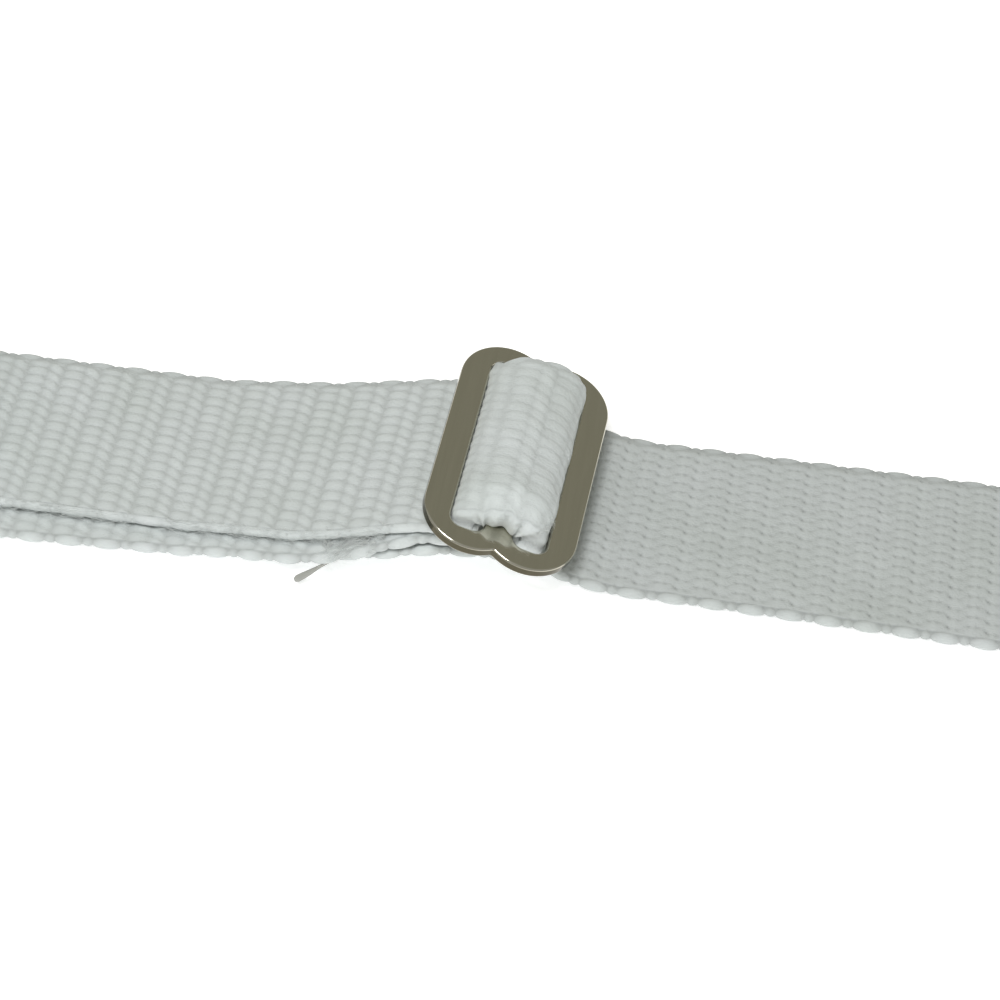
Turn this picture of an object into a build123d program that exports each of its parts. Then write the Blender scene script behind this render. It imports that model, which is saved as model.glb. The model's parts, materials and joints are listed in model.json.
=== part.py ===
from build123d import *
import math
import os

# A webbing gait belt with a flat two-slot steel slide, laid on a table with both long ends rolled.
# Millimetres. X runs along the belt, Y across it and Z up. The origin lies on the table, straight
# under the middle of the slide's centre bar.

# Webbing
webbing_width = 38.0
webbing_thickness = 2.4
layer_gap = 0.1

# Slide plate
plate_thickness = 2.0
bar_width = 5.4
rim_width = 5.3
end_bar_width = 4.3
slot_clearance = 0.5
slot_end_clearance = 1.4
slot_corner_radius = 2.2
lobe_radius = 9.0
plate_edge_round = 0.45
notch_radius = 0.6
plate_tilt = 17.0
plate_skew = 2.4
rim_clearance = 1.5
low_rim_gap = 0.8
exit_height = 1.5
exit_slope = 10.0
buckle_lift = 3.7

# Belt layout along X
seam_reach = 37.0
ramp_length = 20.0
loop_joint_x = -64.0
tail_joint_x = 24.0
joint_gap = 0.2
joint_spare = 2.0
loop_roll_x = -129.5

# Bends
turn_radius = 1.6
wrap_corner_radius = 1.8
ramp_radius = 30.0
exit_radius = 9.0

# Rolls
loop_roll_radius = 24.5
tail_roll_radius = 16.5
roll_core_radius = 4.2

# Sewn seam
thread_diameter = 0.6
stitch_length = 2.7
stitch_pitch = 3.4
seam_margin = 4.0
seam_end_margin = 3.0
seam_box_length = 15.0
thread_proud = 0.25
thread_sink = 0.3
seam_lift = 0.35

# Loose yarn
yarn_diameter = 0.6
yarn_tip_radius = 0.55
yarn_bend_radius = 8.0
yarn_root_x = -28.5
yarn_root_z = 3.2
yarn_run = 7.5
yarn_reach = 5.2

# Values that follow from the sizes above
layer_pitch = webbing_thickness + layer_gap
slot_width = 2 * webbing_thickness + 3 * slot_clearance
slot_length = webbing_width + 2 * slot_end_clearance
plate_width = bar_width + 2 * slot_width + 2 * rim_width
plate_length = slot_length + 2 * end_bar_width
tilt_sin = math.sin(math.radians(plate_tilt))
tilt_cos = math.cos(math.radians(plate_tilt))
skew_tan = math.tan(math.radians(plate_skew))
table_layer_z = webbing_thickness / 2
bar_z = (
    webbing_thickness
    + rim_clearance
    + buckle_lift
    + plate_width / 2 * tilt_sin
    + plate_thickness / 2 * tilt_cos
)
high_rim_z = bar_z + (bar_width / 2 + slot_width) * tilt_sin - plate_thickness / 2 * tilt_cos
running_rim_z = high_rim_z - rim_clearance - webbing_thickness / 2
wrap_rim_z = running_rim_z - layer_pitch
fold_rim_z = wrap_rim_z - layer_pitch
fold_end_z = seam_lift + webbing_thickness / 2
rim_x = -plate_width / 2
ramp_foot_x = -seam_reach - ramp_length
wrap_side = bar_width / 2 + slot_clearance + webbing_thickness / 2
wrap_top = plate_thickness / 2 + slot_clearance + webbing_thickness / 2
running_side = wrap_side + webbing_thickness + slot_clearance
running_top = wrap_top + layer_pitch
running_corner_radius = wrap_corner_radius + running_side - wrap_side
loop_half_turns = int((loop_roll_radius - roll_core_radius) / layer_pitch)
tail_half_turns = int((tail_roll_radius - roll_core_radius) / (layer_pitch / 2))
tail_roll_x = -loop_roll_x + loop_roll_radius - tail_roll_radius


def on_plate(along, above):
    """The side-view point that lies this far along the tilted plate and above its middle plane."""
    return (
        along * tilt_cos + above * tilt_sin,
        bar_z - along * tilt_sin + above * tilt_cos,
    )


def below_slot(along, height):
    """Where the line through a slot, square to the plate, comes down to a height above the table."""
    above = (height - bar_z + along * tilt_sin) / tilt_cos
    return on_plate(along, above)


def beside(points, distance):
    """The route moved sideways, to its left for a positive distance, with mitred corners."""
    places = [Vector(*p) for p in points]
    runs = [(b - a).normalized() for a, b in zip(places, places[1:])]
    before = [runs[0]] + runs
    after = runs + [runs[-1]]
    moved = []
    for place, first, second in zip(places, before, after):
        left = Vector(-first.Y - second.Y, first.X + second.X)
        miter = left.normalized()
        reach = distance / miter.dot(Vector(-first.Y, first.X))
        moved.append(place + miter * reach)
    return moved


def turn_signs(points):
    """+1 for each corner that turns left and -1 for each that turns right."""
    signs = []
    for a, b, c in zip(points, points[1:], points[2:]):
        cross = (b[0] - a[0]) * (c[1] - b[1]) - (b[1] - a[1]) * (c[0] - b[0])
        signs.append(1 if cross > 0 else -1)
    return signs


def extruded(face, width):
    """A side-view face made solid across the belt, to both sides of its middle."""
    return extrude(Plane.XZ * face, amount=width / 2, both=True)


def extruded_askew(face, width):
    """A side-view face made solid across the belt, with its bends in line with the askew slide."""
    reach = Vector(skew_tan, 1, 0) * (width / 2)
    return extrude(Plane.XZ * face, amount=reach.length, dir=reach.normalized(), both=True)


def between_joints(webbing):
    """The webbing cut off square at both fold joints."""
    start_x = loop_joint_x + joint_gap / 2
    end_x = tail_joint_x - joint_gap / 2
    slab = Box(end_x - start_x, 2 * webbing_width, 4 * bar_z)
    return webbing & Pos((start_x + end_x) / 2, 0, 0) * slab


def strap(points, radii):
    """Webbing along a side-view route, with the radius of its middle at each corner."""
    half = webbing_thickness / 2
    signs = turn_signs(points)
    left = FilletPolyline(
        beside(points, half), radius=[r - s * half for r, s in zip(radii, signs)]
    )
    right = FilletPolyline(
        beside(points, -half), radius=[r + s * half for r, s in zip(radii, signs)]
    )
    caps = [Line(left @ 0, right @ 0), Line(left @ 1, right @ 1)]
    edges = [edge for line in (left, right, *caps) for edge in line.edges()]
    return between_joints(extruded_askew(make_face(edges), webbing_width))


def flat_layer(start_x, end_x, height):
    """A straight strip of webbing whose middle lies at a height above the table."""
    layer = Box(end_x - start_x, webbing_width, webbing_thickness)
    return Pos((start_x + end_x) / 2, 0, height) * layer


def half_turn(center_x, center_z, radius, facing):
    """Half a turn of webbing in side view, on the side of its middle that facing names."""
    outer = radius + webbing_thickness / 2
    inner = radius - webbing_thickness / 2
    ring = Pos(center_x, center_z) * (Circle(outer) - Circle(inner))
    half_plane = Pos(center_x + facing * outer, center_z) * Rectangle(2 * outer, 2 * outer)
    return ring & half_plane


def roll(start_x, start_z, first_radius, drop, count, first_facing):
    """The half turns of a roll that starts on the table and winds inwards, as faces."""
    turns = []
    facing = first_facing
    low_z = start_z
    radius = first_radius
    for _ in range(count):
        going_up = facing == first_facing
        center_z = low_z + radius if going_up else low_z - radius
        turns.append(half_turn(start_x, center_z, radius, facing))
        low_z = center_z + radius if going_up else center_z - radius
        radius -= drop
        facing = -facing
    return turns, low_z


def joined(faces):
    """The faces as one."""
    whole = faces[0]
    for face in faces[1:]:
        whole += face
    return whole


def plate_outline():
    """Two round-ended bands side by side, whose lobes meet in a notch at each end."""
    lobe_x = plate_width / 2 - lobe_radius
    lobe_y = plate_length / 2 - lobe_radius
    lobes = [
        Pos(x, y) * Circle(lobe_radius) for x in (-lobe_x, lobe_x) for y in (-lobe_y, lobe_y)
    ]
    outline = joined([Rectangle(plate_width, 2 * lobe_y), *lobes])
    notches = [v for v in outline.vertices() if abs(v.X) < lobe_x / 2]
    return fillet(notches, notch_radius)


def slide_plate():
    """The flat steel slide: a centre bar, two rims and two end bars round two slots."""
    slot_x = (bar_width + slot_width) / 2
    slot = RectangleRounded(slot_width, slot_length, slot_corner_radius)
    face = plate_outline() - Pos(slot_x, 0) * slot - Pos(-slot_x, 0) * slot
    plate = extrude(face, amount=plate_thickness / 2, both=True)
    flats = plate.faces().filter_by(Axis.Z)
    plate = fillet(flats.edges(), plate_edge_round)
    return Pos(0, 0, bar_z) * Rot(0, 0, -plate_skew) * Rot(0, plate_tilt, 0) * plate


def sewn_end_wrap():
    """The belt's sewn end: in from the left, over the centre bar, and folded back beneath itself."""
    points = [
        (loop_joint_x - joint_spare, table_layer_z),
        (ramp_foot_x, table_layer_z),
        (-seam_reach, fold_end_z + layer_pitch),
        (rim_x, wrap_rim_z),
        below_slot(-wrap_side, wrap_rim_z),
        on_plate(-wrap_side, wrap_top),
        on_plate(wrap_side, wrap_top),
        below_slot(wrap_side, fold_rim_z),
        (rim_x, fold_rim_z),
        (-seam_reach, fold_end_z),
    ]
    bends = [ramp_radius, ramp_radius, ramp_radius, turn_radius]
    bends += [wrap_corner_radius, wrap_corner_radius, turn_radius, ramp_radius]
    return strap(points, bends)


def running_strap():
    """The belt's free side through the slide: over the sewn wrap and down below the low rim."""
    below = -(plate_thickness / 2 + low_rim_gap + webbing_thickness / 2)
    exit_x = on_plate(plate_width / 2, below)[0]
    slope_run = exit_height / math.tan(math.radians(exit_slope))
    points = [
        (loop_joint_x - joint_spare, table_layer_z + layer_pitch),
        (ramp_foot_x, table_layer_z + layer_pitch),
        (-seam_reach, fold_end_z + 2 * layer_pitch),
        (rim_x, running_rim_z),
        below_slot(-running_side, running_rim_z),
        on_plate(-running_side, running_top),
        on_plate(running_side, running_top),
        on_plate(running_side, below),
        (exit_x, table_layer_z + exit_height),
        (exit_x + slope_run, table_layer_z),
        (tail_joint_x + joint_spare, table_layer_z),
    ]
    bends = [ramp_radius, ramp_radius, ramp_radius, turn_radius]
    bends += [running_corner_radius, running_corner_radius, turn_radius]
    bends += [exit_radius, exit_radius]
    return strap(points, bends)


def stitch_places():
    """Middles and headings of the stitches: a box across the seam with a cross inside it.

    Each place is a distance along the belt's middle, a distance across the belt, and a heading.
    """
    far = seam_reach - seam_end_margin
    near = far - seam_box_length
    side = webbing_width / 2 - seam_margin
    corners = [(-far, -side), (-far, side), (-near, side), (-near, -side)]
    lines = list(zip(corners, corners[1:] + corners[:1]))
    lines += [(corners[0], corners[2]), (corners[1], corners[3])]
    places = []
    for (x0, y0), (x1, y1) in lines:
        run = Vector(x1 - x0 + (y1 - y0) * skew_tan, y1 - y0)
        count = int(run.length / stitch_pitch)
        heading = math.degrees(math.atan2(run.Y, run.X))
        for i in range(count):
            share = (i + 0.5) / count
            places.append((x0 + (x1 - x0) * share, y0 + (y1 - y0) * share, heading))
    return places


def seam_stitches():
    """The seam's thread: each stitch is a loop through the fold and the strap above it."""
    slope = (fold_rim_z - fold_end_z) / (rim_x + seam_reach)
    lean = -math.degrees(math.atan(slope))
    low = -webbing_thickness / 2 - thread_proud
    high = webbing_thickness / 2 + layer_pitch - thread_sink
    height = high - low
    opening = Box(
        stitch_length - 2 * thread_diameter, 2 * thread_diameter, height - 2 * thread_diameter
    )
    loop = Pos(0, 0, (low + high) / 2) * (Box(stitch_length, thread_diameter, height) - opening)
    solids = []
    for x, y, heading in stitch_places():
        z = fold_end_z + slope * (x + seam_reach)
        place = Pos(x + y * skew_tan, y, z) * Rot(0, 0, -plate_skew) * Rot(0, lean, 0)
        solids.append(place * Rot(0, 0, heading + plate_skew) * loop)
    return Compound(children=[part.solid() for part in solids])


def loop_layer(height):
    """One of the two flat layers between the buckle and the rolled waist loop."""
    return flat_layer(loop_roll_x, loop_joint_x - joint_gap / 2, height)


def waist_loop_roll():
    """The waist loop, pressed flat and wound up with both its layers together."""
    outer, outer_end = roll(
        loop_roll_x, table_layer_z, loop_roll_radius, layer_pitch, loop_half_turns, -1
    )
    inner, inner_end = roll(
        loop_roll_x,
        table_layer_z + layer_pitch,
        loop_roll_radius - layer_pitch,
        layer_pitch,
        loop_half_turns,
        -1,
    )
    fold = half_turn(loop_roll_x, (outer_end + inner_end) / 2, layer_pitch / 2, -1)
    return extruded(joined([*outer, *inner, fold]), webbing_width)


def tail_strap():
    """The free tail, flat on the table between the buckle and its roll."""
    return flat_layer(tail_joint_x + joint_gap / 2, tail_roll_x, table_layer_z)


def tail_roll():
    """The rest of the free tail, wound up on itself with its end in the middle."""
    turns, _ = roll(
        tail_roll_x, table_layer_z, tail_roll_radius, layer_pitch / 2, tail_half_turns, 1
    )
    return extruded(joined(turns), webbing_width)


def loose_yarn():
    """A yarn pulled out of the near edge of the fold, with a melted tip that rests on the table."""
    edge_y = -webbing_width / 2 - yarn_diameter
    path = FilletPolyline(
        (yarn_root_x, edge_y, yarn_root_z),
        (yarn_root_x - yarn_run / 2, edge_y - yarn_reach / 3, yarn_root_z / 2 + 0.6),
        (yarn_root_x - yarn_run, edge_y - yarn_reach, yarn_tip_radius + 0.1),
        radius=yarn_bend_radius,
    )
    yarn = sweep(Plane(path @ 0, z_dir=path % 0) * Circle(yarn_diameter / 2), path)
    tip = Plane(path @ 1, z_dir=path % 1) * Sphere(yarn_tip_radius)
    return yarn + tip


def belt_length():
    """The webbing's length along its middle, from its volume."""
    webbing = [sewn_end_wrap(), running_strap(), waist_loop_roll(), tail_strap(), tail_roll()]
    webbing += [loop_layer(table_layer_z), loop_layer(table_layer_z + layer_pitch)]
    return sum(part.volume for part in webbing) / (webbing_width * webbing_thickness)


def write_parts():
    """Writes each piece to its own file."""
    pieces = {
        "slide_plate": slide_plate(),
        "sewn_end_wrap": sewn_end_wrap(),
        "running_strap": running_strap(),
        "seam_stitches": seam_stitches(),
        "loose_yarn": loose_yarn(),
        "loop_lower_layer": loop_layer(table_layer_z),
        "loop_upper_layer": loop_layer(table_layer_z + layer_pitch),
        "waist_loop_roll": waist_loop_roll(),
        "tail_strap": tail_strap(),
        "tail_roll": tail_roll(),
    }
    os.makedirs("parts", exist_ok=True)
    for name, piece in pieces.items():
        export_step(piece, os.path.join("parts", name + ".step"))


write_parts()
print("bar height", round(bar_z, 3), "plate", round(plate_width, 2), round(plate_length, 2))
print("belt length", round(belt_length(), 1))
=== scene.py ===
import json
import math
import bpy
import numpy as np
from mathutils import Matrix, Vector


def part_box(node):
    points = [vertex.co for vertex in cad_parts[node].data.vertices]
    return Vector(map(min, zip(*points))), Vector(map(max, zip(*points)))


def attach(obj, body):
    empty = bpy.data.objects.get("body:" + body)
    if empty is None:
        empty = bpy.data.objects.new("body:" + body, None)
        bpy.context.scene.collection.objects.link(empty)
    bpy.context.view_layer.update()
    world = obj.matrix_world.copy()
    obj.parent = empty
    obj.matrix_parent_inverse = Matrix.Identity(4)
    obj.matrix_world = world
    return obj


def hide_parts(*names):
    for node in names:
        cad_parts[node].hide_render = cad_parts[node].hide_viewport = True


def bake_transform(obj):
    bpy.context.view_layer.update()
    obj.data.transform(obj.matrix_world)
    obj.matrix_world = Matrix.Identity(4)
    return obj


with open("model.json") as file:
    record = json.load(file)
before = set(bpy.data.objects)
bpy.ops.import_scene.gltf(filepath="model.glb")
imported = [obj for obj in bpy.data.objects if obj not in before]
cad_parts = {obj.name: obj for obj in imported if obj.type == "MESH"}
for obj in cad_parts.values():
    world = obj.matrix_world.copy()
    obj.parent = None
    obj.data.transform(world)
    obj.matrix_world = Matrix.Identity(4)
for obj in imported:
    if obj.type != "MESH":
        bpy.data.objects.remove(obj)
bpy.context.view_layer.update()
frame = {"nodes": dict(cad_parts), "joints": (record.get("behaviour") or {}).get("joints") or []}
MM = 0.001
joints = {joint["name"]: joint for joint in frame["joints"]}

# ---------------------------------------------------------------- sizes, in millimetres
tail_low, tail_high = (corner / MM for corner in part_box("tail_strap"))
loop_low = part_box("loop_upper_layer")[0] / MM
loop_roll_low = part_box("waist_loop_roll")[0] / MM
tail_roll_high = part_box("tail_roll")[1] / MM
yarn_low, yarn_high = (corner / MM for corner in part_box("loose_yarn"))

width = tail_high.y - tail_low.y
thickness = tail_high.z - tail_low.z
layer_z = thickness / 2
pitch = loop_low.z
bar_z = joints["slide_tilt"]["pos_m"][2] / MM
loop_hinge = Vector(joints["loop_fold"]["pos_m"]) / MM
tail_hinge = Vector(joints["tail_fold"]["pos_m"]) / MM
loop_roll_x = loop_low.x
tail_roll_x = tail_high.x
loop_roll_radius = loop_roll_x - loop_roll_low.x - layer_z
tail_roll_radius = tail_roll_high.x - tail_roll_x - layer_z

# The route of the webbing through the slide repeats the CAD's own sizes.
bar_width = 5.4
slot_clearance = 0.5
rim_width = 5.3
plate_thickness = 2.0
plate_tilt = math.radians(17.0)
skew = math.tan(math.radians(2.4))
rim_clearance = 1.5
low_rim_gap = 0.8
exit_height = 1.5
exit_slope = math.radians(10.0)
seam_reach = 37.0
ramp_foot_x = -57.0
fold_end_z = 0.35 + layer_z
turn_radius = 1.6
wrap_corner = 1.8
ramp_radius = 30.0
exit_radius = 9.0
roll_core = 4.2
slot_width = 2 * thickness + 3 * slot_clearance
plate_half = bar_width / 2 + slot_width + rim_width
wrap_side = bar_width / 2 + slot_clearance + layer_z
wrap_top = plate_thickness / 2 + slot_clearance + layer_z
running_side = wrap_side + thickness + slot_clearance
running_top = wrap_top + pitch
running_corner = wrap_corner + running_side - wrap_side
high_rim_z = (
    bar_z
    + (bar_width / 2 + slot_width) * math.sin(plate_tilt)
    - plate_thickness / 2 * math.cos(plate_tilt)
)
running_rim_z = high_rim_z - rim_clearance - layer_z

# How the soft webbing departs from the plain strips
lower_layer_lean = 3.3
loop_lean = 1.9
fold_back_lean = 2.0
yarn_pull = 1.7
yarn_pull_run = 14.0
tail_flare = 1.9
slot_end_spread = 0.95
crown_swell = 1.15
lip_sink = 3.2
wrap_edge_recess = 0.16
bulge_calm = 0.42

# The loose yarn, from the selvedge to its melted tip
yarn_line = (
    (yarn_high.x + 1.5, -(width / 2) - 2.6, 6.2),
    (yarn_high.x - 1.6, -(width / 2) - 5.0, 6.0),
    (yarn_low.x + 0.5, yarn_low.y + 0.3, 0.9),
)
yarn_radius = 0.30

# Where the upper layer's near edge is fuzzy
fuzzy_from_x, fuzzy_to_x = -104.0, -20.0
yarn_sides = 16

# The weave
repeat = 6.9
flat_rows = 16
edge_rows = 2
ring_rows = 2 * flat_rows + 2 * edge_rows
relief = 0.56
selvedge_bump = 0.34
far_selvedge_bump = 0.1
flat_selvedge_bump = 0.06
underside_plumpness = 0.35
long_float_middle = 0.27
short_float_middle = 0.745
short_float_slant = 1.5
float_half_width = 0.58
groove_floor = 0.46

# Looks
# The second colour of each pair below is painted shade, which the webbing material lays in the
# grooves and the gaps between floats by weave height; the first is the yarn's colour on the tops.
plump_light, plump_groove_painted_shade = (0.65, 0.688, 0.692), (0.53, 0.56, 0.56)
# The even face's colours are about a tenth darker than the plump face's, though it is the same
# white yarn: painted shade on the tail strap and its roll.
even_light_with_painted_shade, even_groove_painted_shade = (0.585, 0.619, 0.620), (0.477, 0.504, 0.502)
thread_light, thread_groove_painted_shade = (0.62, 0.64, 0.62), (0.45, 0.47, 0.45)
# The loose fibres are lighter than the webbing they come from: painted light that offsets the
# shade they lie in.
fibre_color_painted_light = (0.80, 0.83, 0.82, 1)
melted_color = (0.33, 0.335, 0.31, 1)
room_front, room_back = (0.42, 0.42, 0.40, 1), (0.290, 0.286, 0.240, 1)
key_place, key_size, key_power = (-0.12, -0.34, 0.85), 0.35, 5.2
camera_azimuth, camera_elevation, camera_roll = -7.8, 47.8, 1.5
camera_distance = 0.562
camera_target = (-0.0031, 0.0010, 0.0)
lens_in_sensor_widths = 3.064


# ---------------------------------------------------------------- routes in side view
def on_plate(along, above):
    return (
        along * math.cos(plate_tilt) + above * math.sin(plate_tilt),
        bar_z - along * math.sin(plate_tilt) + above * math.cos(plate_tilt),
    )


def below_slot(along, height):
    above = (height - bar_z + along * math.sin(plate_tilt)) / math.cos(plate_tilt)
    return on_plate(along, above)


def sample_line(start, end, step):
    start, end = np.array(start, float), np.array(end, float)
    length = np.linalg.norm(end - start)
    count = max(1, math.ceil(length / step))
    share = np.arange(count)[:, None] / count
    tangent = np.tile((end - start) / length, (count, 1))
    return start + (end - start) * share, tangent


def sample_arc(center, radius, first, sweep, step):
    count = max(2, math.ceil(radius * abs(sweep) / step))
    angle = first + sweep * np.arange(count) / count
    around = np.stack([np.cos(angle), np.sin(angle)], 1)
    tangent = np.stack([-np.sin(angle), np.cos(angle)], 1) * math.copysign(1, sweep)
    return np.array(center) + radius * around, tangent


def rounded_route(points, radii, step):
    """Samples straight runs joined by tangent arcs: places and tangents."""
    points = [np.array(p, float) for p in points]
    places, tangents = [], []
    last = points[0]
    for before, corner, after, radius in zip(points, points[1:], points[2:], radii):
        first = (corner - before) / np.linalg.norm(corner - before)
        second = (after - corner) / np.linalg.norm(after - corner)
        turn = math.atan2(first[0] * second[1] - first[1] * second[0], first @ second)
        reach = radius * math.tan(abs(turn) / 2)
        start, end = corner - first * reach, corner + second * reach
        side = np.array([-first[1], first[0]]) * math.copysign(1, turn)
        center = start + side * radius
        place, tangent = sample_line(last, start, step)
        places.append(place)
        tangents.append(tangent)
        angle = math.atan2(*(start - center)[::-1])
        arc_step = min(step, radius * 0.12)
        place, tangent = sample_arc(center, radius, angle, turn, arc_step)
        places.append(place)
        tangents.append(tangent)
        last = end
    place, tangent = sample_line(last, points[-1], step)
    places += [place, points[-1][None]]
    tangents += [tangent, tangent[-1:]]
    return np.concatenate(places), np.concatenate(tangents)


def arc_length(places):
    steps = np.linalg.norm(np.diff(places, axis=0), axis=1)
    return np.concatenate([[0.0], np.cumsum(steps)])


# ---------------------------------------------------------------- the weave's relief
def smooth(value, low, high):
    share = np.clip((value - low) / (high - low), 0, 1)
    return share * share * (3 - 2 * share)


def dome(distance):
    """A rounded yarn top: 1 in the middle and 0 from a distance of 1."""
    return np.clip(1 - distance, 0, 1) ** 0.62


cell_noise = np.random.default_rng(11).normal(0, 1, (4, 512, 64))


def noise_of(kind, column, row):
    return cell_noise[kind, column.astype(int) % 512, row.astype(int) % 64]


def plump_weave(along, row):
    """Long flat floats in columns, with shorter slanted ones half a row on between them."""
    column = np.floor(along)
    phase = along - column
    near = np.round(row - 0.5) + 0.5
    tall = noise_of(0, column, near)
    drift = 0.03 * noise_of(1, column, near)
    float_across = row - near - drift + 0.16 * (phase - long_float_middle)
    float_along = (phase - long_float_middle) / (0.29 + 0.008 * tall)
    long_float = dome(np.abs(float_along) ** 2.0 + (float_across / float_half_width) ** 2)
    long_float = long_float * (0.96 + 0.05 * tall)
    shifted = row + short_float_slant * (phase - short_float_middle)
    other = np.round(shifted)
    tall = noise_of(2, column, other)
    slant_across = shifted - other - 0.03 * noise_of(3, column, other)
    slant_along = (phase - short_float_middle) / (0.215 + 0.008 * tall)
    short_float = dome(np.abs(slant_along) ** 2.0 + (slant_across / float_half_width) ** 2)
    short_float = short_float * (0.98 + 0.05 * tall)
    return groove_floor + (1 - groove_floor) * np.maximum(long_float, short_float)


def even_weave(along, row):
    """Ribs that step half a row aside and back in each repeat, with short sunk gaps that the
    webbing material also paints darker as shade.
    """
    column = np.floor(along)
    phase = along - column
    aside = smooth(phase, 0.36, 0.58) - smooth(phase, 0.80, 0.98)
    shifted = row + 0.5 * aside
    rib = np.round(shifted - 0.5) + 0.5
    across = np.abs(shifted - rib) * 2
    tall = noise_of(0, column, rib)
    dashes = sum(
        deep * np.exp(-(((phase - middle + 0.5) % 1 - 0.5) / long) ** 2)
        for middle, deep, long in (
            (0.03, 0.75, 0.05),
            (0.25, 0.75, 0.05),
            (0.50, 1.25, 0.055),
            (0.76, 0.6, 0.05),
        )
    )
    gap = 0.13 * across**2.5 + 0.62 * dashes * across**3
    swell = 0.05 * np.cos(4 * math.pi * (phase - 0.14))
    return 0.84 + swell + 0.03 * tall - gap


def selvedge(along, row, middle, start):
    """The edge's own yarns: one long float in each repeat, and a small knot after it."""
    phase = (along - start) % 1
    beside = (row - middle) / 1.3
    long_float = dome(((phase - 0.37) / 0.37) ** 2 + beside**2)
    knot = 0.55 * dome(((phase - 0.87) / 0.13) ** 2 + (beside / 0.8) ** 2)
    return 0.3 + 0.7 * np.maximum(long_float, knot)


def cross_section(per_row):
    """One ring round the webbing: place across, height, outward normal and row number."""
    row = np.arange(ring_rows * per_row) / per_row
    half_flat = width / 2 - layer_z
    base = layer_z - relief
    across = np.zeros_like(row)
    height = np.zeros_like(row)
    normal = np.zeros((len(row), 2))
    first, second, third = flat_rows, flat_rows + edge_rows, 2 * flat_rows + edge_rows
    top = row < first
    far = (row >= first) & (row < second)
    under = (row >= second) & (row < third)
    near = row >= third
    across[top] = -half_flat + 2 * half_flat * row[top] / flat_rows
    height[top] = base
    normal[top] = (0, 1)
    across[under] = half_flat - 2 * half_flat * (row[under] - second) / flat_rows
    height[under] = -base
    normal[under] = (0, -1)
    for edge, start, angle in ((far, first, math.pi / 2), (near, third, -math.pi / 2)):
        turn = angle - math.pi * (row[edge] - start) / edge_rows
        normal[edge] = np.stack([np.cos(turn), np.sin(turn)], 1)
        across[edge] = (half_flat if edge is far else -half_flat) + base * np.cos(turn)
        height[edge] = base * np.sin(turn)
    return row, across, height, normal


def strap_mesh(
    name,
    places,
    tangents,
    start,
    per_row,
    plump,
    shape=None,
    askew=None,
    knots=selvedge_bump,
    calm=0,
):
    """Woven webbing along a side-view route.

    plump gives the share of the plump weave along it, knots how far the near selvedge's yarns
    stand out, and calm how much of the relief is stretched flat.
    """
    length = arc_length(places) + start
    row, across, height, normal = cross_section(per_row)
    along = (length / repeat)[:, None] + 0 * row[None]
    rows = row[None] + 0 * along
    top = (row < flat_rows + edge_rows / 2) | (row > ring_rows - edge_rows / 2)
    share = np.where(top[None], plump(length)[:, None], underside_plumpness)
    relief_map = share * plump_weave(along, rows) + (1 - share) * even_weave(along, rows)
    far, near = flat_rows + edge_rows / 2, ring_rows - edge_rows / 2
    beside_far, beside_near = np.abs(row - far), np.abs(row - near)
    sideways = 1 - smooth(np.minimum(beside_far, beside_near), 0.9, 1.7)[None]
    nearer = (beside_near < beside_far)[None]
    edge_map = np.where(
        nearer, selvedge(along, rows, near, 0.1), selvedge(along, rows, far, 0.55)
    )
    edge_map = np.where(nearer, 1 + (edge_map - 1) * (0.25 + 2.2 * knots), edge_map)
    relief_map = relief_map * (1 - sideways) + edge_map * sideways
    relief_map = 1 - (1 - relief_map) * (1 - calm)
    proud = np.where(nearer, knots, far_selvedge_bump) * edge_map - 0.15
    out = relief * relief_map + sideways * proud
    flat_y = across[None] + normal[None, :, 0] * out
    flat_n = height[None] + normal[None, :, 1] * out
    if shape is not None:
        flat_y, flat_n = shape(places, length, flat_y, flat_n)
    left = np.stack([-tangents[:, 1], tangents[:, 0]], 1)
    x = places[:, 0, None] + left[:, 0, None] * flat_n
    z = places[:, 1, None] + left[:, 1, None] * flat_n
    if askew is not None:
        x = x + flat_y * skew * askew(x)
    co = np.stack([x, flat_y, z], -1) * MM
    return woven_object(name, co, length, row, relief_map)


def tube_quads(index):
    """The side faces of tubes whose rings of points run along the last axis of index."""
    a, b = index[..., :-1, :], index[..., 1:, :]
    return np.stack([a, np.roll(a, -1, -1), np.roll(b, -1, -1), b], -1).reshape(-1, 4).tolist()


def end_cap(ring, flip):
    """Faces that close one end: quads between the two flat sides, and the rounded edges."""
    around = len(ring)
    under = (2 * flat_rows + edge_rows) * around // ring_rows
    faces = []
    for i in range(flat_rows * around // ring_rows):
        faces.append([ring[i], ring[i + 1], ring[under - i - 1], ring[under - i]])
    count = edge_rows * around // ring_rows
    for start in (flat_rows, 2 * flat_rows + edge_rows):
        first = start * around // ring_rows
        edge = [ring[(first + k) % around] for k in range(count + 1)]
        for k in range(count // 2):
            corners = [edge[k], edge[k + 1], edge[count - k - 1], edge[count - k]]
            faces.append(list(dict.fromkeys(corners)))
    faces = [[int(point) for point in face] for face in faces if len(face) >= 3]
    return [face[::-1] for face in faces] if flip else faces


def new_object(name, mesh):
    obj = bpy.data.objects.new(name, mesh)
    bpy.context.scene.collection.objects.link(obj)
    return obj


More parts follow.
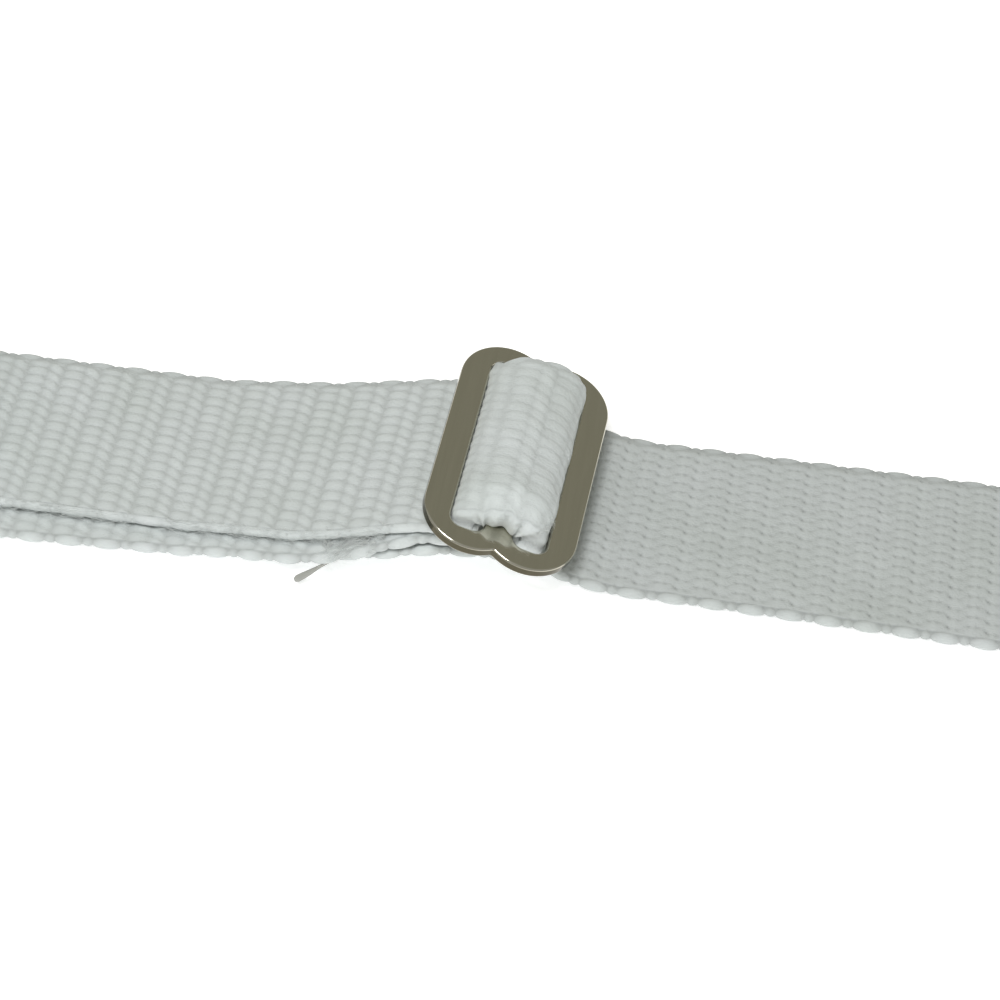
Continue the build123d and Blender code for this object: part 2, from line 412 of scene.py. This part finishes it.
def woven_object(name, co, length, row, relief_map):
    """A closed tube of quads with flat end caps, and what its material reads on each point."""
    stations, around = co.shape[:2]
    index = np.arange(stations * around).reshape(stations, around)
    quads = tube_quads(index)
    caps = end_cap(index[0], True) + end_cap(index[-1], False)
    mesh = bpy.data.meshes.new(name)
    mesh.from_pydata(co.reshape(-1, 3), [], quads + caps)
    mesh.validate()
    for label, values in (
        ("weave_along", np.repeat(length, around)),
        ("weave_row", np.tile(row, stations)),
        ("weave_height", relief_map.reshape(-1)),
    ):
        attribute = mesh.attributes.new(label, "FLOAT", "POINT")
        attribute.data.foreach_set("value", values.astype(np.float32))
    mesh.polygons.foreach_set("use_smooth", np.arange(len(mesh.polygons)) < len(quads))
    return new_object(name, mesh)


# ---------------------------------------------------------------- materials
def new_material(name):
    material = bpy.data.materials.new(name)
    material.use_nodes = True
    nodes, links = material.node_tree.nodes, material.node_tree.links
    nodes.clear()
    output = nodes.new("ShaderNodeOutputMaterial")
    shader = nodes.new("ShaderNodeBsdfPrincipled")
    links.new(shader.outputs[0], output.inputs[0])
    return material, nodes, links, shader


def attribute_node(nodes, name):
    node = nodes.new("ShaderNodeAttribute")
    node.attribute_name = name
    return node.outputs["Fac"]


def math_node(nodes, links, operation, first, second):
    node = nodes.new("ShaderNodeMath")
    node.operation = operation
    for socket, value in zip(node.inputs, (first, second)):
        if isinstance(value, (int, float)):
            socket.default_value = value
        else:
            links.new(value, socket)
    return node.outputs[0]


def webbing_material(name, light, dark):
    material, nodes, links, shader = new_material(name)
    along = attribute_node(nodes, "weave_along")
    row = attribute_node(nodes, "weave_row")
    height = attribute_node(nodes, "weave_height")
    place = nodes.new("ShaderNodeCombineXYZ")
    links.new(math_node(nodes, links, "MULTIPLY", along, 1.5), place.inputs[0])
    links.new(math_node(nodes, links, "MULTIPLY", row, 13.0), place.inputs[1])
    fibre = nodes.new("ShaderNodeTexNoise")
    fibre.inputs["Scale"].default_value = 1.0
    fibre.inputs["Detail"].default_value = 4.0
    links.new(place.outputs[0], fibre.inputs["Vector"])
    patch_place = nodes.new("ShaderNodeCombineXYZ")
    links.new(math_node(nodes, links, "MULTIPLY", along, 0.05), patch_place.inputs[0])
    links.new(math_node(nodes, links, "MULTIPLY", row, 0.12), patch_place.inputs[1])
    patch = nodes.new("ShaderNodeTexNoise")
    patch.inputs["Scale"].default_value = 1.0
    links.new(patch_place.outputs[0], patch.inputs["Vector"])
    # Painted shade: the colour follows the weave height, from the dark colour (darkened further)
    # in the grooves and between the floats to the light one, a little brightened, on the yarn
    # tops.
    ramp = nodes.new("ShaderNodeValToRGB")
    ramp.color_ramp.elements[0].position = 0.1
    ramp.color_ramp.elements[0].color = (*(0.72 * value for value in dark), 1)
    ramp.color_ramp.elements[1].position = 1.0
    ramp.color_ramp.elements[1].color = (*(1.03 * value for value in light), 1)
    for position, color, share in ((0.42, dark, 1.0), (0.80, light, 0.94)):
        stop = ramp.color_ramp.elements.new(position)
        stop.color = (*(share * value for value in color), 1)
    links.new(height, ramp.inputs[0])
    tint = nodes.new("ShaderNodeMix")
    tint.data_type = "RGBA"
    tint.blend_type = "MULTIPLY"
    tint.inputs[0].default_value = 1.0
    shades = nodes.new("ShaderNodeValToRGB")
    shades.color_ramp.elements[0].position = 0.3
    shades.color_ramp.elements[0].color = (0.93, 0.94, 0.92, 1)
    shades.color_ramp.elements[1].position = 0.7
    shades.color_ramp.elements[1].color = (1.0, 1.0, 1.0, 1)
    links.new(patch.outputs[0], shades.inputs[0])
    links.new(ramp.outputs[0], tint.inputs[6])
    links.new(shades.outputs[0], tint.inputs[7])
    links.new(tint.outputs[2], shader.inputs["Base Color"])
    bump = nodes.new("ShaderNodeBump")
    bump.inputs["Strength"].default_value = 0.6
    bump.inputs["Distance"].default_value = 0.00025
    fluff_place = nodes.new("ShaderNodeTexCoord")
    fluff = nodes.new("ShaderNodeTexNoise")
    fluff.inputs["Scale"].default_value = 1500.0
    fluff.inputs["Detail"].default_value = 3.0
    links.new(fluff_place.outputs["Object"], fluff.inputs["Vector"])
    rise = math_node(nodes, links, "ADD", fibre.outputs[0], fluff.outputs[0])
    links.new(rise, bump.inputs["Height"])
    links.new(bump.outputs[0], shader.inputs["Normal"])
    rough = math_node(nodes, links, "MULTIPLY", fibre.outputs[0], 0.3)
    links.new(math_node(nodes, links, "ADD", rough, 0.45), shader.inputs["Roughness"])
    shader.inputs["Sheen Weight"].default_value = 0.15
    shader.inputs["Subsurface Weight"].default_value = 0.12
    shader.inputs["Subsurface Radius"].default_value = (0.001, 0.001, 0.001)
    shader.inputs["Subsurface Scale"].default_value = 0.8
    return material


def nickel_material():
    material, nodes, links, shader = new_material("nickel_plate")
    shader.inputs["Metallic"].default_value = 1.0
    place = nodes.new("ShaderNodeTexCoord")
    stretch = nodes.new("ShaderNodeMapping")
    stretch.inputs["Scale"].default_value = (900, 60, 900)
    links.new(place.outputs["Object"], stretch.inputs[0])
    grain = nodes.new("ShaderNodeTexNoise")
    grain.inputs["Scale"].default_value = 1.0
    grain.inputs["Detail"].default_value = 3.0
    links.new(stretch.outputs[0], grain.inputs["Vector"])
    ramp = nodes.new("ShaderNodeValToRGB")
    ramp.color_ramp.elements[0].color = (0.52, 0.50, 0.42, 1)
    ramp.color_ramp.elements[1].color = (0.60, 0.58, 0.49, 1)
    links.new(grain.outputs[0], ramp.inputs[0])
    # Painted shade: faces that stand up from the plate, its cut edges, get a far darker colour,
    # so that they look as if they reflect something dark.
    upright = nodes.new("ShaderNodeVectorMath")
    upright.operation = "DOT_PRODUCT"
    upright.inputs[1].default_value = (math.sin(plate_tilt), 0, math.cos(plate_tilt))
    links.new(place.outputs["Normal"], upright.inputs[0])
    flat = math_node(nodes, links, "ABSOLUTE", upright.outputs["Value"], 0)
    side = nodes.new("ShaderNodeValToRGB")
    side.color_ramp.elements[0].position = 0.15
    side.color_ramp.elements[0].color = (0.16, 0.15, 0.12, 1)
    side.color_ramp.elements[1].position = 0.5
    side.color_ramp.elements[1].color = (1, 1, 1, 1)
    links.new(flat, side.inputs[0])
    tint = nodes.new("ShaderNodeMix")
    tint.data_type = "RGBA"
    tint.blend_type = "MULTIPLY"
    tint.inputs[0].default_value = 1.0
    links.new(ramp.outputs[0], tint.inputs[6])
    links.new(side.outputs[0], tint.inputs[7])
    links.new(tint.outputs[2], shader.inputs["Base Color"])
    rough = math_node(nodes, links, "MULTIPLY", grain.outputs[0], 0.08)
    links.new(math_node(nodes, links, "ADD", rough, 0.08), shader.inputs["Roughness"])
    bump = nodes.new("ShaderNodeBump")
    bump.inputs["Strength"].default_value = 0.05
    bump.inputs["Distance"].default_value = 0.00005
    links.new(grain.outputs[0], bump.inputs["Height"])
    links.new(bump.outputs[0], shader.inputs["Normal"])
    return material


# ---------------------------------------------------------------- the pieces
step = 0.3
below = -(plate_thickness / 2 + low_rim_gap + layer_z)
turn_x, turn_z = on_plate(running_side, below)
exit_x = on_plate(plate_half, below)[0]
table_x = exit_x + exit_height / math.tan(exit_slope)
hidden_split = (turn_x + exit_x) / 2, (turn_z + layer_z + exit_height) / 2


def running_route():
    points = [
        (loop_roll_x, layer_z + pitch),
        (ramp_foot_x, layer_z + pitch),
        (-seam_reach, fold_end_z + 2 * pitch),
        (-plate_half, running_rim_z),
        below_slot(-running_side, running_rim_z),
        on_plate(-running_side, running_top),
        on_plate(running_side, running_top),
        (turn_x, turn_z),
        hidden_split,
    ]
    bends = [ramp_radius] * 3 + [turn_radius] + [running_corner] * 2 + [turn_radius]
    return rounded_route(points, bends, step)


def tail_route():
    points = [
        hidden_split,
        (exit_x, layer_z + exit_height),
        (table_x, layer_z),
        (tail_roll_x, layer_z),
    ]
    return rounded_route(points, [exit_radius, exit_radius], step)


def fixed_route():
    wrap_rim_z = running_rim_z - pitch
    fold_rim_z = wrap_rim_z - pitch
    points = [
        (loop_roll_x, layer_z),
        (ramp_foot_x, layer_z),
        (-seam_reach, fold_end_z + pitch),
        (-plate_half, wrap_rim_z),
        below_slot(-wrap_side, wrap_rim_z),
        on_plate(-wrap_side, wrap_top),
        on_plate(wrap_side, wrap_top),
        below_slot(wrap_side, fold_rim_z),
        (-plate_half, fold_rim_z),
        (-seam_reach, fold_end_z),
    ]
    bends = [ramp_radius] * 3 + [turn_radius] + [wrap_corner] * 2 + [turn_radius, ramp_radius]
    return rounded_route(points, bends, step * 1.3)


def half_turns(start_x, start_z, radius, drop, count, facing, step):
    """A roll's half turns from the table inwards, as places and tangents along the webbing."""
    places, tangents = [], []
    height = start_z
    for turn in range(count):
        rising = turn % 2 == 0
        center = height + radius if rising else height - radius
        first = -math.pi / 2 if rising else math.pi / 2
        place, tangent = sample_arc((start_x, center), radius, first, facing * math.pi, step)
        places.append(place)
        tangents.append(tangent)
        height = center + radius if rising else center - radius
        radius -= drop
    return places, tangents, height, radius


def always(value):
    return lambda length: np.full_like(length, value)


def plate_place(places):
    """Each place as a distance along the tilted plate and one above its middle plane."""
    x, z = places[:, 0], places[:, 1] - bar_z
    along = x * math.cos(plate_tilt) - z * math.sin(plate_tilt)
    above = x * math.sin(plate_tilt) + z * math.cos(plate_tilt)
    return along, above


# Each shape function takes a route's places and lengths along it, and each point's place across
# the webbing and its height out of the route, and gives the last two back changed.
def wander(x):
    """How far the lower layer lies towards the near side of the upper one."""
    lean = lower_layer_lean * smooth(-x, 8, 30) + loop_lean * smooth(-x, 40, 95)
    return lean + yarn_pull * beside_yarn(x)


def beside_yarn(x):
    """1 where the near edges are pulled out of line by the loose yarn, and 0 further off."""
    return np.exp(-(((x - yarn_high.x + 4.5) / yarn_pull_run) ** 2))


def near_half(across):
    return smooth(-across, 0, width / 2)


def slot_end_swell(along, above, across):
    """Webbing spreads in the high slot, nearly to the slot's far end."""
    in_slot = smooth(-along, 3.0, 5.0) * smooth(above, -4.0, -1.5) * (1 - smooth(above, 1.0, 3.0))
    return slot_end_spread * in_slot[:, None] * smooth(across, 13.0, 19.0)


def bulge_shape(places, length, across, out):
    """The running strap swells over the bar, overhangs the rims and curls in at its near edge."""
    along, above = plate_place(places)
    raised = smooth(above, 1.0, 3.4)
    crown = crown_swell * np.exp(-(((along - 1.4) / 4.8) ** 2))
    shoulder = -0.7 * np.exp(-(((along + 6.6) / 2.4) ** 2))
    overhang = 0.45 * smooth(along, 3.0, 7.0) + 0.45 * smooth(-along, 5.0, 8.0)
    swell = (crown + shoulder + overhang) * raised + 0.42 * smooth(above, -2.5, -0.8)
    ripple = 0.10 * np.sin(across * 0.42 + 0.8) + 0.08 * np.sin(across * 0.93 + along[:, None])
    outer = np.clip(0.55 + out / thickness, 0.2, 1)
    out = out + swell[:, None] * outer + ripple * raised[:, None]
    edge = smooth(-across, 12.5, 19.2)
    middle = np.exp(-(((along + 0.4) / 2.4) ** 2))
    curl = (0.9 + 2.3 * np.exp(-((along / 6.3) ** 4)) - 0.5 * middle) * raised
    tuck = (0.55 * middle + 0.3 * np.sin(along * 1.9 + 0.4)) * raised
    inner = np.clip(-out / layer_z, 0, 1) * smooth(above, -3.5, -1.0)[:, None]
    filling = (lip_sink - 1.9 * middle[:, None]) * inner
    sink = curl[:, None] * edge**1.4 + filling * edge
    out = np.maximum(out - sink, 0.6 - running_corner)
    across = across + tuck[:, None] * edge + slot_end_swell(along, above, across)
    out = out + 0.5 * slot_end_swell(along, above, across)
    pulled = yarn_pull * beside_yarn(places[:, 0])
    return across - pulled[:, None] * near_half(across), out


def fixed_shape(places, length, across, out):
    """The lower layer wanders nearer, and its edge is tucked in where it goes over the bar."""
    along, above = plate_place(places)
    top = np.argmax(places[:, 1])
    back = np.arange(len(places)) > top
    fold_back = fold_back_lean * smooth(-places[:, 0], 3, 22)
    shift = np.where(back, fold_back, wander(places[:, 0]))
    recess = (0.01 + wrap_edge_recess * np.exp(-((along / 6.6) ** 6))) * smooth(above, -2.5, 0.5)
    tucked = across * (1 - recess[:, None] * near_half(across))
    tucked = tucked + slot_end_swell(along, above, across) * (1 - back[:, None])
    return tucked - shift[:, None], out


def askew_middle(x):
    """The slide's skew, fading out towards the fold joint on the loop side."""
    return smooth(x, loop_hinge.x, loop_hinge.x + 22)


def askew_tail(x):
    return 1 - smooth(x, table_x, tail_hinge.x + 14)


def tail_shape(places, length, across, out):
    """The tail's near edge flares a little towards the roll."""
    flare = tail_flare * smooth(places[:, 0], tail_low.x - 6, tail_high.x)
    return across - flare[:, None] * near_half(across), out


def tail_roll_shape(places, length, across, out):
    """The flare goes on into the roll and is gone at its core."""
    flare = tail_flare * (1 - length / length[-1])
    return across - flare[:, None] * near_half(across), out


def loop_roll_shape(places, length, across, out):
    """The outer layer starts as far aside as the lower layer, and comes back in the core."""
    share = 1 - length / length[-1]
    aside = wander(np.full_like(share, loop_roll_x)) * share
    return across - aside[:, None], out


def plump_before_exit(length):
    """The plump side shows up to the slot, and the even one from there on."""
    return 1 - smooth(length, running_length - 9, running_length - 3)


# ---------------------------------------------------------------- loose fibres and yarn
def fuzz(name, roots, headings, lengths, radius, seed):
    """Loose fibres: thin curved tubes that start on a piece's surface."""
    random = np.random.default_rng(seed)
    count, points = len(roots), 6
    share = np.linspace(0, 1, points)[None, :, None]
    sway = random.normal(0, 1, (count, 1, 3)) * (0.35, 0.35, 0.25)
    twist = random.normal(0, 1, (count, 1, 3)) * 0.3
    lengths = lengths[:, None, None]
    line = roots[:, None] + lengths * (
        headings[:, None] * share + sway * share**2 + twist * np.sin(4 * share) * share * 0.5
    )
    line[..., 2] = np.maximum(line[..., 2], 0.15)
    corners = []
    thin = radius * (1 - 0.6 * share)
    for turn in (0, 2 * math.pi / 3, 4 * math.pi / 3):
        offset = np.array([0.3 * math.cos(turn), math.cos(turn), math.sin(turn)])
        corners.append(line + offset * thin)
    co = np.stack(corners, 2)
    index = np.arange(count * points * 3).reshape(count, points, 3)
    ends = np.concatenate([index[:, 0, ::-1], index[:, -1]]).tolist()
    mesh = bpy.data.meshes.new(name)
    mesh.from_pydata(co.reshape(-1, 3) * MM, [], tube_quads(index) + ends)
    mesh.shade_smooth()
    obj = new_object(name, mesh)
    obj.data.materials.append(fibres)
    return obj


def edge_fibres(name, low_x, high_x, count, seed):
    """Fibres that stand off the near edge of the upper layer, mostly lying along it."""
    random = np.random.default_rng(seed)
    x = random.uniform(low_x, high_x, count)
    order = np.argsort(running_places[:, 0])
    z = np.interp(x, running_places[order, 0], running_places[order, 1])
    angle = random.uniform(-1.2, 2.2, count)
    reach = layer_z * 0.85
    y = -(width / 2 - layer_z) - reach * np.cos(angle) - 0.15 - yarn_pull * beside_yarn(x)
    roots = np.stack([x, y, z + reach * np.sin(angle)], 1)
    side = np.where(random.random(count) < 0.5, 1.0, -1.0)
    headings = np.stack([0.85 * side, -0.28 * np.ones(count), 0.18 * np.sin(angle)], 1)
    lengths = random.uniform(0.6, 2.4, count)
    return fuzz(name, roots, headings, lengths, 0.035, seed)


def frayed_root():
    """The fibres that spread over the near edges and gather where the loose yarn comes out."""
    random = np.random.default_rng(5)
    count = 420
    u = random.uniform(0, 1, count)
    x = yarn_high.x + random.uniform(-3.5, 6.5, count)
    y = -(width / 2) - 0.9 - 2.3 * u
    z = 8.2 - 1.6 * u + 0.2 * (x - yarn_high.x) + random.normal(0, 0.2, count)
    roots = np.stack([x, y, z], 1)
    headings = np.array(yarn_line[1]) - roots
    reach = np.linalg.norm(headings, axis=1)
    headings = headings / reach[:, None]
    headings = headings + random.normal(0, 0.22, (count, 3)) * (1, 0.3, 0.3)
    lengths = np.minimum(random.uniform(0.8, 4.0, count), reach)
    return fuzz("frayed_root", roots, headings, lengths, 0.055, 6)


def lip_fibres():
    """Short fibres over the crimped near lip of the strap that goes over the bar."""
    random = np.random.default_rng(31)
    count = len(running.data.vertices)
    place, normal = np.empty(3 * count), np.empty(3 * count)
    running.data.vertices.foreach_get("co", place)
    running.data.vertex_normals.foreach_get("vector", normal)
    place, normal = place.reshape(-1, 3) / MM, normal.reshape(-1, 3)
    above = plate_place(place[:, ::2])[1]
    lip = np.flatnonzero((above > 3.4) & (place[:, 1] < 4.0 - width / 2) & (normal[:, 2] > -0.4))
    lip = random.choice(lip, 650)
    headings = 0.35 * normal[lip] + random.normal(0, 0.7, (len(lip), 3)) * (1, 0.5, 0.4)
    lengths = random.uniform(0.3, 1.0, len(lip))
    return fuzz("edge_fibres_lip", place[lip], headings, lengths, 0.04, 32)


def melted_yarn():
    """The loose yarn: a stiff filament that widens to its squared-off melted tip."""
    corners = np.array(yarn_line)
    share = np.linspace(0, 1, 25)[:, None]
    line = (1 - share) ** 2 * corners[0] + 2 * share * (1 - share) * corners[1]
    line = line + share**2 * corners[2]
    along = np.gradient(line, axis=0)
    along = along / np.linalg.norm(along, axis=1)[:, None]
    side = np.cross(along, (0, 0, 1))
    side = side / np.linalg.norm(side, axis=1)[:, None]
    up = np.cross(side, along)
    radius = yarn_radius + 0.36 * smooth(share, 0.55, 0.95) - 0.25 * smooth(share, 0.97, 1.0)
    turn = np.arange(yarn_sides) * 2 * math.pi / yarn_sides
    ridge = 1 + 0.10 * np.cos(3 * turn[None] + 9 * share)
    ring = np.cos(turn)[None, :, None] * side[:, None] + np.sin(turn)[None, :, None] * up[:, None]
    co = line[:, None] + ring * (radius * ridge)[..., None]
    index = np.arange(len(line) * yarn_sides).reshape(-1, yarn_sides)
    ends = [index[0, ::-1].tolist(), index[-1].tolist()]
    mesh = bpy.data.meshes.new("melted_yarn")
    mesh.from_pydata(co.reshape(-1, 3) * MM, [], tube_quads(index) + ends)
    mesh.shade_smooth()
    return new_object("melted_yarn", mesh)


# ---------------------------------------------------------------- the belt, piece by piece
webbing = webbing_material("white_webbing", plump_light, plump_groove_painted_shade)
# The even webbing is a darker copy of the same white webbing: painted shade.
even_webbing_painted_shade = webbing_material("even_webbing_painted_shade", even_light_with_painted_shade, even_groove_painted_shade)
nickel = nickel_material()

places, tangents = running_route()
running_length = arc_length(places)[-1]
running_places = places[places[:, 0] < -plate_half + 2]


running = strap_mesh(
    "running_strap_woven",
    places,
    tangents,
    0.0,
    9,
    plump_before_exit,
    bulge_shape,
    askew_middle,
    knots=flat_selvedge_bump,
    calm=bulge_calm * smooth(plate_place(places)[1], -0.5, 2.5)[:, None],
)
places, tangents = tail_route()
tail = strap_mesh(
    "tail_strap_woven", places, tangents, running_length, 9, always(0.0), tail_shape, askew_tail
)
tail_length = arc_length(places)[-1]
places, tangents = fixed_route()
fixed = strap_mesh(
    "fixed_strap_woven", places, tangents, 0.0, 6, always(1.0), fixed_shape, askew_middle
)

loop_count = int((loop_roll_radius - roll_core) / pitch)
outer, outer_t, outer_end, _ = half_turns(
    loop_roll_x, layer_z, loop_roll_radius, pitch, loop_count, -1, 0.7
)
inner, inner_t, inner_end, _ = half_turns(
    loop_roll_x, layer_z + pitch, loop_roll_radius - pitch, pitch, loop_count, -1, 0.7
)
fold_center = (loop_roll_x, (outer_end + inner_end) / 2)
fold, fold_t = sample_arc(fold_center, pitch / 2, -math.pi / 2, -math.pi, 0.2)
back = np.concatenate(inner)[::-1]
back_t = -np.concatenate(inner_t)[::-1]
places = np.concatenate([*outer, fold, [fold_center + np.array([0, pitch / 2])], back])
tangents = np.concatenate([*outer_t, fold_t, [[1, 0]], back_t])
loop_roll = strap_mesh(
    "waist_loop_roll_woven", places, tangents, 0.0, 4, always(1.0), loop_roll_shape
)

tail_count = int((tail_roll_radius - roll_core) / (pitch / 2))
coil, coil_t, _, _ = half_turns(
    tail_roll_x, layer_z, tail_roll_radius, pitch / 2, tail_count, 1, 0.6
)
places, tangents = np.concatenate(coil), np.concatenate(coil_t)
tail_roll = strap_mesh(
    "tail_roll_woven",
    places,
    tangents,
    running_length + tail_length,
    4,
    always(0.0),
    tail_roll_shape,
)

for piece, cloth in (
    (running, webbing),
    (tail, even_webbing_painted_shade),
    (fixed, webbing),
    (loop_roll, webbing),
    (tail_roll, even_webbing_painted_shade),
):
    piece.data.materials.append(cloth)


fibres, _, _, fibre_shader = new_material("loose_fibres")
fibre_shader.inputs["Base Color"].default_value = fibre_color_painted_light
fibre_shader.inputs["Roughness"].default_value = 0.7
yarn = melted_yarn()
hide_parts("loose_yarn")
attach(yarn, "belt_middle")
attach(edge_fibres("edge_fibres_middle", loop_hinge.x + 3, fuzzy_to_x, 620, 21), "belt_middle")
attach(edge_fibres("edge_fibres_loop", fuzzy_from_x, loop_hinge.x - 3, 380, 22), "loop_side")
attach(frayed_root(), "belt_middle")
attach(lip_fibres(), "belt_middle")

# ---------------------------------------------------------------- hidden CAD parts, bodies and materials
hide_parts("running_strap", "loop_upper_layer")
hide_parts("tail_strap", "running_strap")
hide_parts("sewn_end_wrap", "loop_lower_layer")
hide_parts("waist_loop_roll")
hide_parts("tail_roll")
for piece in (running, fixed):
    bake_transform(piece)
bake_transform(tail)
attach(loop_roll, "loop_side")
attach(tail_roll, "tail_side")

frame["nodes"]["slide_plate"].data.materials.clear()
frame["nodes"]["slide_plate"].data.materials.append(nickel)
thread = webbing_material("white_thread", thread_light, thread_groove_painted_shade)
frame["nodes"]["seam_stitches"].data.materials.clear()
frame["nodes"]["seam_stitches"].data.materials.append(thread)
melted, _, _, melted_shader = new_material("melted_yarn")
melted_shader.inputs["Base Color"].default_value = melted_color
melted_shader.inputs["Roughness"].default_value = 0.35
yarn.data.materials.append(melted)


# ---------------------------------------------------------------- floor, light and camera
def stage_floor():
    """White paper, lit a little from behind so that it stays pure white."""
    material, _, _, shader = new_material("floor_paper")
    shader.inputs["Base Color"].default_value = (0.95, 0.95, 0.95, 1)
    shader.inputs["Roughness"].default_value = 0.9
    shader.inputs["Emission Color"].default_value = (1, 1, 1, 1)
    shader.inputs["Emission Strength"].default_value = 0.5
    mesh = bpy.data.meshes.new("floor")
    half = 6.0
    corners = [(-half, -half, 0), (half, -half, 0), (half, half, 0), (-half, half, 0)]
    mesh.from_pydata(corners, [], [(0, 1, 2, 3)])
    mesh.materials.append(material)
    floor = new_object("floor", mesh)
    floor.location.z = -0.0002


def area_light(name, place, size, power):
    """A square lamp that faces the origin."""
    data = bpy.data.lights.new(name, "AREA")
    data.shape = "SQUARE"
    data.size = size
    data.energy = power
    light = bpy.data.objects.new(name, data)
    light.location = place
    light.rotation_euler = (-Vector(place)).to_track_quat("-Z", "Y").to_euler()
    bpy.context.scene.collection.objects.link(light)


def studio():
    """A dark olive-grey room behind the object and above, and a bright one in front."""
    world = bpy.data.worlds.new("studio")
    world.use_nodes = True
    nodes, links = world.node_tree.nodes, world.node_tree.links
    background = nodes["Background"]
    place = nodes.new("ShaderNodeTexCoord")
    parts = nodes.new("ShaderNodeSeparateXYZ")
    links.new(place.outputs["Generated"], parts.inputs[0])
    ramp = nodes.new("ShaderNodeValToRGB")
    ramp.color_ramp.elements[0].position = 0.0
    ramp.color_ramp.elements[0].color = room_front
    ramp.color_ramp.elements[1].position = 0.34
    ramp.color_ramp.elements[1].color = room_back
    links.new(parts.outputs[1], ramp.inputs[0])
    links.new(ramp.outputs[0], background.inputs[0])
    bpy.context.scene.world = world
    area_light("key", key_place, key_size, key_power)


def camera():
    azimuth, elevation = math.radians(camera_azimuth), math.radians(camera_elevation)
    roll = math.radians(camera_roll)
    forward = Vector(
        (
            math.sin(azimuth) * math.cos(elevation),
            math.cos(azimuth) * math.cos(elevation),
            -math.sin(elevation),
        )
    )
    data = bpy.data.cameras.new("camera")
    data.sensor_width = 36.0
    data.lens = data.sensor_width * lens_in_sensor_widths
    data.clip_start = 0.01
    view = bpy.data.objects.new("camera", data)
    right = forward.cross(Vector((0, 0, 1))).normalized()
    up = right.cross(forward)
    turned_right = right * math.cos(roll) + up * math.sin(roll)
    turned_up = up * math.cos(roll) - right * math.sin(roll)
    axes = Matrix((turned_right, turned_up, -forward)).transposed()
    place = Vector(camera_target) - forward * camera_distance
    view.matrix_world = Matrix.Translation(place) @ axes.to_4x4()
    bpy.context.scene.collection.objects.link(view)
    bpy.context.scene.camera = view


stage_floor()
studio()
camera()
bpy.context.scene.view_settings.view_transform = "Standard"
